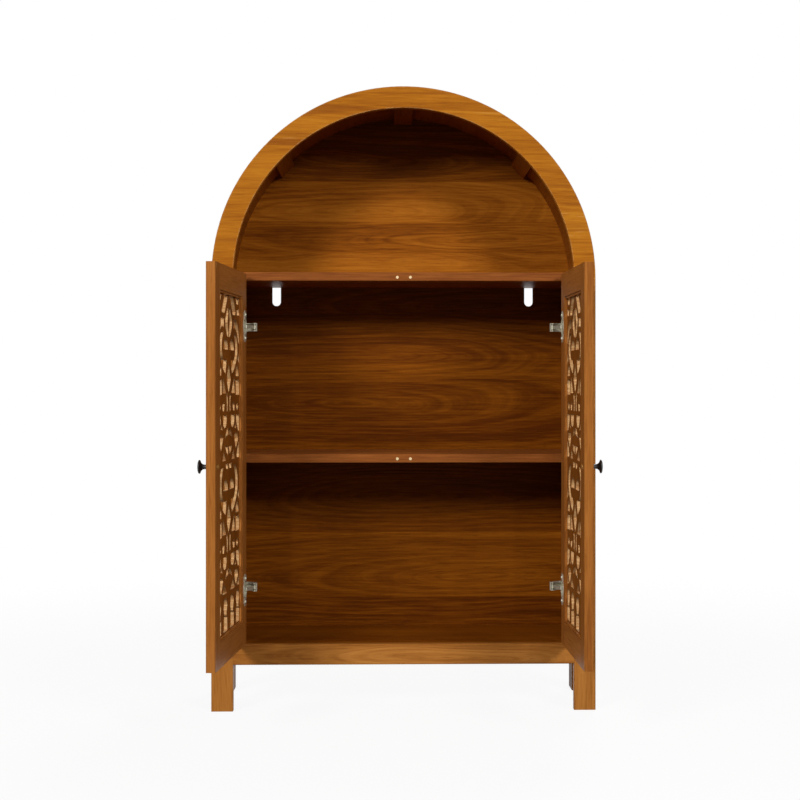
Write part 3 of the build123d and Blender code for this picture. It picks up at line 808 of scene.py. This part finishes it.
@dataclass
class Carcass:
    """The arched box, its face frame, shelves and back."""

    # Lower back panel's board joints and tone changes: partly real board tones, partly painted
    # shade and light, such as the darker lowest board above the bottom panel
    lower_boards_and_shade: tuple[tuple[float, float], ...] = (
        (0.1, -0.2), (0.202, 0.21), (0.348, -0.1), (0.546, -0.06), (0.692, 0.06), (0.838, -0.04)
    )
    # Upper back panel's board joints and tone changes: partly real board tones, partly painted
    # shade and light; the dark top board is painted shade under the arch
    upper_boards_and_shade: tuple[tuple[float, float], ...] = (
        (0.9, 0.08), (0.975, -0.06), (1.045, -0.02), (1.135, -0.17)
    )
    ring_boards: tuple[tuple[float, float], ...] = ((0.985, 0.04), (1.09, -0.05), (1.19, 0.04))
    wood_seed: int = 11
    dowel_seed: int = 41
    magnet_seed: int = 51

    def finishes(self) -> dict[str, StainedWood]:
        """Choose the wood of every fixed piece in sight.

        Returns:
            The finish of each node.
        """
        upright = StainedWood(FRONT_STAIN, Grain.UPRIGHT)
        side = StainedWood(
            SIDE_STAIN, Grain.UPRIGHT, figure=0.7, pith=(0.05, 0.05), specular=0.06
        )
        shelf = StainedWood(SHELF_STAIN, figure=0.4)
        bent = StainedWood(SIDE_STAIN, Grain.BACKWARD, figure=0.2, specular=0.04)
        # The ring's pale edge line is a painted highlight where its edge catches light, with some
        # wear
        ring = StainedWood(
            RING_STAIN, pith=(0.05, 0.05), figure=0.7, boards=self.ring_boards,
            streaks=0.4, wear_and_highlight=1.0, edge=0.003,
        )
        rail = StainedWood(FRONT_STAIN, pith=(0.008, 0.0), taper=0.12, figure=1.2, streaks=0.6)
        upper_back = StainedWood(
            BACK_STAIN, pith=(0.006, 0.0), taper=0.16, figure=0.8, boards=self.upper_boards_and_shade,
            streaks=0.1, wear_and_highlight=0.0, specular=0.07,
        )
        return {
            "arch_ring": ring,
            "left_front_post": upright,
            "right_front_post": upright,
            "front_rail": rail,
            "left_side_panel": side,
            "right_side_panel": side,
            "arch_band": bent,
            "left_arch_batten": bent,
            "crown_arch_batten": bent,
            "right_arch_batten": bent,
            "fixed_shelf": shelf,
            "middle_shelf": shelf,
            # The bottom panel wears the darker back stain as painted shade
            "bottom_panel": StainedWood(SHADED_BACK_STAIN, figure=0.4, specular=0.1),
            "upper_back_panel": upper_back,
            "lower_back_panel": replace(
                upper_back, stain=SHADED_BACK_STAIN, boards=self.lower_boards_and_shade
            ),
            "left_hinge_post": side,
            "right_hinge_post": side,
        }

    def build(self) -> None:
        """Dress every fixed piece."""
        for seed, (node, finish) in enumerate(self.finishes().items(), self.wood_seed):
            dress(node, finish, seed)
        for seed, node in enumerate(("ring_dowels", "rail_dowels"), self.dowel_seed):
            dress(node, RAW_WOOD, seed)
        for seed, shelf in enumerate(("fixed", "middle"), self.magnet_seed):
            dress(f"{shelf}_shelf_magnets", MAGNET, seed)


def wall(shell: bmesh.types.BMesh, lower: Sequence[Any], upper: Sequence[Any]) -> None:
    """Join two closed loops of corners with a band of faces.

    Args:
        shell: mesh under construction.
        lower: corners of the first loop.
        upper: corners of the second loop.
    """
    for index, corner in enumerate(lower):
        following = (index + 1) % len(lower)
        shell.faces.new((corner, lower[following], upper[following], upper[index]))


def loop(shell: bmesh.types.BMesh, radius: float, height: float, segments: int) -> list[Any]:
    """Make the corners of a level circle about the Z axis.

    Args:
        shell: mesh under construction.
        radius: the circle's radius.
        height: its height.
        segments: number of corners.

    Returns:
        The corners.
    """
    turns = [math.tau * step / segments for step in range(segments)]
    return [
        shell.verts.new((radius * math.cos(turn), radius * math.sin(turn), height))
        for turn in turns
    ]


@dataclass
class Screw:
    """Pan head of a screw with a cross recess, lying on a surface."""

    radius: float = 0.0035
    height: float = 0.0016
    recess_depth: float = 0.0010
    recess_reach: float = 0.0020
    recess_width: float = 0.0010
    floor_share: float = 0.8
    rim: tuple[tuple[float, float], ...] = (
        (1.0, 0.0), (1.0, 0.35), (0.93, 0.72), (0.80, 0.94), (0.66, 1.0)
    )
    segments: int = 28

    def cross(self, shell: bmesh.types.BMesh, height: float, share: float) -> list[Any]:
        """Make the outline of the cross recess.

        Args:
            shell: mesh under construction.
            height: its height over the surface.
            share: size against the recess's mouth.

        Returns:
            The outline's corners.
        """
        reach, half = self.recess_reach * share, self.recess_width / 2 * share
        corners = []
        for quarter in range(4):
            turn = Matrix.Rotation(math.pi / 2 * quarter, 2)
            for x, y in ((half, half), (half, reach), (-half, reach)):
                corners.append(shell.verts.new((*(turn @ Vector((x, y))), height)))
        return corners

    def mesh(self) -> bmesh.types.BMesh:
        """Build the head with its rounded rim and its recess.

        Returns:
            The head's mesh.
        """
        shell = bmesh.new()
        rings = [
            loop(shell, self.radius * wide, self.height * high, self.segments)
            for wide, high in self.rim
        ]
        mouth = self.cross(shell, self.height, 1.0)
        floor = self.cross(shell, self.height - self.recess_depth, self.floor_share)
        for lower, upper in (*zip(rings, rings[1:]), (mouth, floor)):
            wall(shell, lower, upper)
        shell.faces.new(floor)
        edges = []
        for border in (rings[-1], mouth):
            for ends in zip(border, border[1:] + border[:1]):
                edges.append(shell.edges.get(ends) or shell.edges.new(ends))
        bmesh.ops.triangle_fill(shell, use_beauty=True, edges=edges)
        return shell


@dataclass
class Knob:
    """Turned knob with a thin stem that flares into a broad cap."""

    profile: tuple[tuple[float, float], ...] = (
        (6.5, 0.0), (6.5, 0.9), (6.2, 1.5), (5.4, 2.0), (4.7, 2.8), (4.4, 4.2), (4.3, 6.2),
        (4.4, 8.2), (4.8, 10.0), (5.6, 11.7), (6.9, 13.2), (8.8, 14.5), (11.0, 15.5),
        (12.4, 16.0), (12.9, 16.4), (13.0, 17.0), (13.0, 17.8), (12.7, 18.4), (12.0, 18.8),
        (10.4, 19.4), (8.0, 19.9), (5.0, 20.3), (2.4, 20.5),
    )
    unit: float = 1000.0
    segments: int = 56

    def mesh(self) -> bmesh.types.BMesh:
        """Turn the profile round the knob's axis.

        Returns:
            The knob's mesh.
        """
        shell = bmesh.new()
        rings = [
            loop(shell, radius / self.unit, height / self.unit, self.segments)
            for radius, height in self.profile
        ]
        for lower, upper in zip(rings, rings[1:]):
            wall(shell, lower, upper)
        shell.faces.new(rings[0])
        shell.faces.new(rings[-1])
        return shell


@dataclass
class Door:
    """One framed door with its fretwork, knob and hinges."""

    hand: str
    side: int
    angle: float
    seed: int
    opening_half_width: float = 0.355
    half_width: float = 0.176
    thickness: float = 0.018
    front: float = -0.140
    cup_pin_edge: float = 0.006
    cup_pin_depth: float = 0.005
    cup_middle_edge: float = 0.020
    arm_pin_inset: float = 0.043
    arm_pin_depth: float = 0.026
    link_share: float = 36.0 / 94.5
    edge_gap: float = 0.002
    knob_edge: float = 0.028
    knob_height: float = 0.524
    hinge_heights: tuple[float, float] = (0.255, 0.799)
    flange_screw: float = 0.024
    flange_thickness: float = 0.0012
    plate_screw: float = 0.0210
    plate_thickness: float = 0.003
    plate_middle: float = -0.086
    arm_rise: float = 0.012
    arm_screw: float = -0.0725
    knob_seed: int = 40
    screw_seed: int = 50

    @property
    def yaw(self) -> float:
        """The door's turn about the upright axis."""
        return math.radians(self.side * self.angle)

    def plane(self) -> tuple[Vector, Vector, Vector]:
        """Inner face of the open door, from the same pins and widths as the hinges.

        Returns:
            Its origin at floor level, its direction across and its direction outwards.
        """
        turn = Matrix.Rotation(self.yaw, 3, "Z")
        across, outward = turn @ Vector((1, 0, 0)), turn @ Vector((0, -1, 0))
        arm_across = self.opening_half_width - self.arm_pin_inset
        arm_pin = Vector((self.side * arm_across, self.front + self.arm_pin_depth, 0))
        closed_across = self.opening_half_width - self.edge_gap - self.cup_pin_edge
        closed_deep = self.front + self.thickness - self.cup_pin_depth
        closed = Vector((self.side * closed_across, closed_deep, 0))
        swing = Matrix.Rotation(-self.yaw * self.link_share, 3, "Z")
        cup_pin = arm_pin + swing @ (closed - arm_pin)
        origin = cup_pin - across * self.side * (self.half_width - self.cup_pin_edge)
        return origin - outward * self.cup_pin_depth, across, outward

    def place(self, across: float, up: float, deep: float, turned: bool = False) -> Matrix:
        """Place on the door with its Z axis outwards, or inwards where it is turned.

        Args:
            across: distance from the door's middle.
            up: height over the floor.
            deep: distance from the inner face.
            turned: whether the axis points inwards.

        Returns:
            The placing matrix.
        """
        origin, over, outward = self.plane()
        spot = origin + over * across + outward * deep + Vector((0, 0, up))
        aim = -outward if turned else outward
        return Matrix.Translation(spot) @ aim.to_track_quat("Z", "Y").to_matrix().to_4x4()

    def build(self) -> None:
        """Dress every piece of the door and of its hinges, then add its small hardware."""
        upright = StainedWood(DOOR_STAIN, Grain.UPRIGHT, specular=0.08)
        level = StainedWood(DOOR_STAIN, Grain.ACROSS, yaw=-self.yaw, specular=0.08)
        finishes = {
            "door_hinge_stile": upright,
            "door_lock_stile": upright,
            "door_top_rail": level,
            "door_bottom_rail": level,
            "door_bead": upright,
            "door_fretwork": FretWood(FRET_STAIN, self.yaw),
            "door_knob": BLACK_PAINT,
            "door_knob_screw": BRASS,
            "door_strikes": BRASS,
            "hinge_cup_pins": NICKEL,
            "hinge_arm_pins": NICKEL,
        }
        for level_name in ("lower", "upper"):
            for piece in ("cup", "link", "arm", "plate"):
                finishes[f"{level_name}_hinge_{piece}"] = NICKEL
        for offset, (node, finish) in enumerate(finishes.items()):
            dress(f"{self.hand}_{node}", finish, self.seed + offset)
        self.build_knob()
        self.build_screws()

    def build_knob(self) -> None:
        """Put the turned knob in the place of its plain solid."""
        across = -self.side * (self.half_width - self.knob_edge)
        place = self.place(across, self.knob_height, self.thickness)
        name, body = f"{self.hand}_turned_knob", f"{self.hand}_door"
        seed = self.seed + self.knob_seed
        knob = add_piece(name, Knob().mesh(), place, body, BLACK_PAINT, seed)
        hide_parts(f"{self.hand}_door_knob")

    def build_screws(self) -> None:
        """Screw the cups to the door, and the plates and arms to the post."""
        cup_across = self.side * (self.half_width - self.cup_middle_edge)
        plate_face = self.side * (self.opening_half_width - self.plate_thickness)
        arm_face = self.side * (self.opening_half_width - self.arm_rise)
        inwards = Vector((-self.side, 0, 0)).to_track_quat("Z", "Y").to_matrix().to_4x4()
        door = f"{self.hand}_door"
        spots: list[tuple[str, str, Matrix]] = []
        for level, height in zip(("lower", "upper"), self.hinge_heights):
            for end, sign in (("bottom", -1), ("top", 1)):
                up = height + sign * self.flange_screw
                place = self.place(cup_across, up, -self.flange_thickness, turned=True)
                spots.append((f"{level}_cup_{end}_screw", door, place))
                up = height + sign * self.plate_screw
                place = Matrix.Translation((plate_face, self.plate_middle, up)) @ inwards
                spots.append((f"{level}_plate_{end}_screw", "cabinet", place))
            place = Matrix.Translation((arm_face, self.arm_screw, height)) @ inwards
            spots.append((f"{level}_arm_screw", "cabinet", place))
        for seed, (name, body, place) in enumerate(spots, self.seed + self.screw_seed):
            name = f"{self.hand}_{name}"
            add_piece(name, Screw().mesh(), place, body, NICKEL, seed)


# ---------------------------------------------------------------- studio
@dataclass(frozen=True)
class Lamp:
    """Soft square lamp that looks at the cabinet's middle; angles in degrees, power in watts."""

    name: str
    side: float
    rise: float
    power: float
    size: float = 1.4
    distance: float = 6.5
    target: Triple = (0.0, 0.0, 0.65)

    def hang(self) -> None:
        """Put the lamp in its place."""
        data = bpy.data.lights.new(self.name, "AREA")
        data.shape = "SQUARE"
        data.size = self.size
        data.energy = self.power
        lamp = bpy.data.objects.new(self.name, data)
        turn, tilt = math.radians(self.side), math.radians(self.rise)
        level = math.cos(tilt)
        away = Vector((level * math.sin(turn), -level * math.cos(turn), math.sin(tilt)))
        lamp.location = Vector(self.target) + away * self.distance
        lamp.rotation_euler = (-away).to_track_quat("-Z", "Y").to_euler()
        bpy.context.scene.collection.objects.link(lamp)
        LOG.info("%s hung", self.name)


@dataclass
class Studio:
    """Floor, backdrop, lamps and camera."""

    distance: float = 3.424
    eye_height: float = 0.678
    eye_side: float = -0.033
    front_plane: float = -0.140
    lens_pixels: float = 1645.0
    image_pixels: float = 800.0
    sensor: float = 36.0
    yaw: float = math.radians(1.4)
    shift_right: float = -28.3
    shift_up: float = -15.0
    floor_half: float = 14.0
    floor_level: float = -0.0005
    floor_light: Colour = (0.09, 0.089, 0.087)
    paper_light: Colour = (0.92, 0.92, 0.92)
    paper_dark: Colour = (0.86, 0.86, 0.86)
    specks: float = 40.0
    speck_share: float = 0.02
    near_glow: float = 0.92
    glow_reach: tuple[float, float] = (0.7, 2.6)
    room_light: float = 0.025
    lamps: tuple[Lamp, ...] = (
        Lamp("left_lamp", side=-29.5, rise=21.5, power=236.0),
        Lamp("right_lamp", side=29.5, rise=21.5, power=182.0),
        Lamp("rear_lamp", side=160.0, rise=32.0, power=190.0, size=2.2),
    )

    def build(self) -> None:
        """Make everything round the object."""
        self.build_floor()
        self.build_world()
        for lamp in self.lamps:
            lamp.hang()
        self.build_camera()

    def build_floor(self) -> None:
        """Lay a floor of pale paper that keeps the object's shadow."""
        mesh = bpy.data.meshes.new("studio_floor")
        shell = bmesh.new()
        bmesh.ops.create_grid(shell, x_segments=1, y_segments=1, size=self.floor_half)
        shell.to_mesh(mesh)
        shell.free()
        floor = bpy.data.objects.new("studio_floor", mesh)
        floor.location.z = self.floor_level
        bpy.context.scene.collection.objects.link(floor)
        shader = Shader("studio_paper")
        seen = self.seen(shader)
        speck = shader.noise(shader.place(), self.specks, 2.0) * self.speck_share
        paper = shader.mix(speck, self.paper_light, self.paper_dark)
        shader.link(shader.mix(seen, self.floor_light, paper), "Base Color")
        shader.set(Roughness=0.9, Specular_IOR_Level=0.0)
        self.whiten(shader, seen)
        mesh.materials.append(shader.material)
        LOG.info("floor laid")

    @staticmethod
    def seen(graph: Graph) -> Signal:
        """Tell what is shown from what lights the object.

        Args:
            graph: nodes under construction.

        Returns:
            1 for what the camera, a reflection or a clear piece shows, and 0 for light.
        """
        path = graph.node("ShaderNodeLightPath")
        mirrored = path.out("Is Camera Ray").maths("MAXIMUM", path.out("Is Glossy Ray"))
        return mirrored.maths("MAXIMUM", path.out("Is Transmission Ray"))

    def whiten(self, shader: Shader, seen: Signal) -> None:
        """Show the floor as white paper, all white farther away, with the object's shadow.

        Args:
            shader: the floor's material.
            seen: 1 where the floor is shown and 0 where it lights the object.
        """
        glow = shader.node("ShaderNodeEmission", None, {"Color": WHITE, "Strength": 1.0}).out()
        far = shader.vector("LENGTH", shader.place(), output=1).step(*self.glow_reach)
        share = seen * (far * (1.0 - self.near_glow) + self.near_glow)
        parts = {0: share, 1: shader.surface.out(), 2: glow}
        blend = shader.node("ShaderNodeMixShader", None, parts).out()
        shader.feed(shader.output.node.inputs["Surface"], blend)

    def build_world(self) -> None:
        """Fill the room with faint even light and show it as white."""
        world = bpy.data.worlds.new("studio_room")
        bpy.context.scene.world = world
        world.use_nodes = True
        graph = Graph(world.node_tree)
        room, white = (
            graph.node("ShaderNodeBackground", None, {"Color": WHITE, "Strength": strength}).out()
            for strength in (self.room_light, 1.0)
        )
        parts = {0: self.seen(graph), 1: room, 2: white}
        blend = graph.node("ShaderNodeMixShader", None, parts).out()
        graph.node("ShaderNodeOutputWorld", None, {"Surface": blend})
        LOG.info("room lit")

    def build_camera(self) -> None:
        """Stand the camera level before the cabinet."""
        data = bpy.data.cameras.new("studio_camera")
        data.sensor_width = self.sensor
        data.lens = self.sensor * self.lens_pixels / self.image_pixels
        data.shift_x = self.shift_right / self.image_pixels
        data.shift_y = self.shift_up / self.image_pixels
        camera = bpy.data.objects.new("studio_camera", data)
        camera.location = (self.eye_side, self.front_plane - self.distance, self.eye_height)
        camera.rotation_euler = (math.pi / 2, 0.0, -self.yaw)
        bpy.context.scene.collection.objects.link(camera)
        bpy.context.scene.camera = camera
        LOG.info("camera set")


def main() -> None:
    """Build every assembly and the studio."""
    logging.basicConfig(level=logging.INFO, format="%(name)s: %(message)s")
    Carcass().build()
    Door("left", side=-1, angle=94.5, seed=100).build()
    Door("right", side=1, angle=91.0, seed=200).build()
    Studio().build()
    bpy.context.scene.view_settings.view_transform = "Standard"


if __name__ == "__main__":
    main()
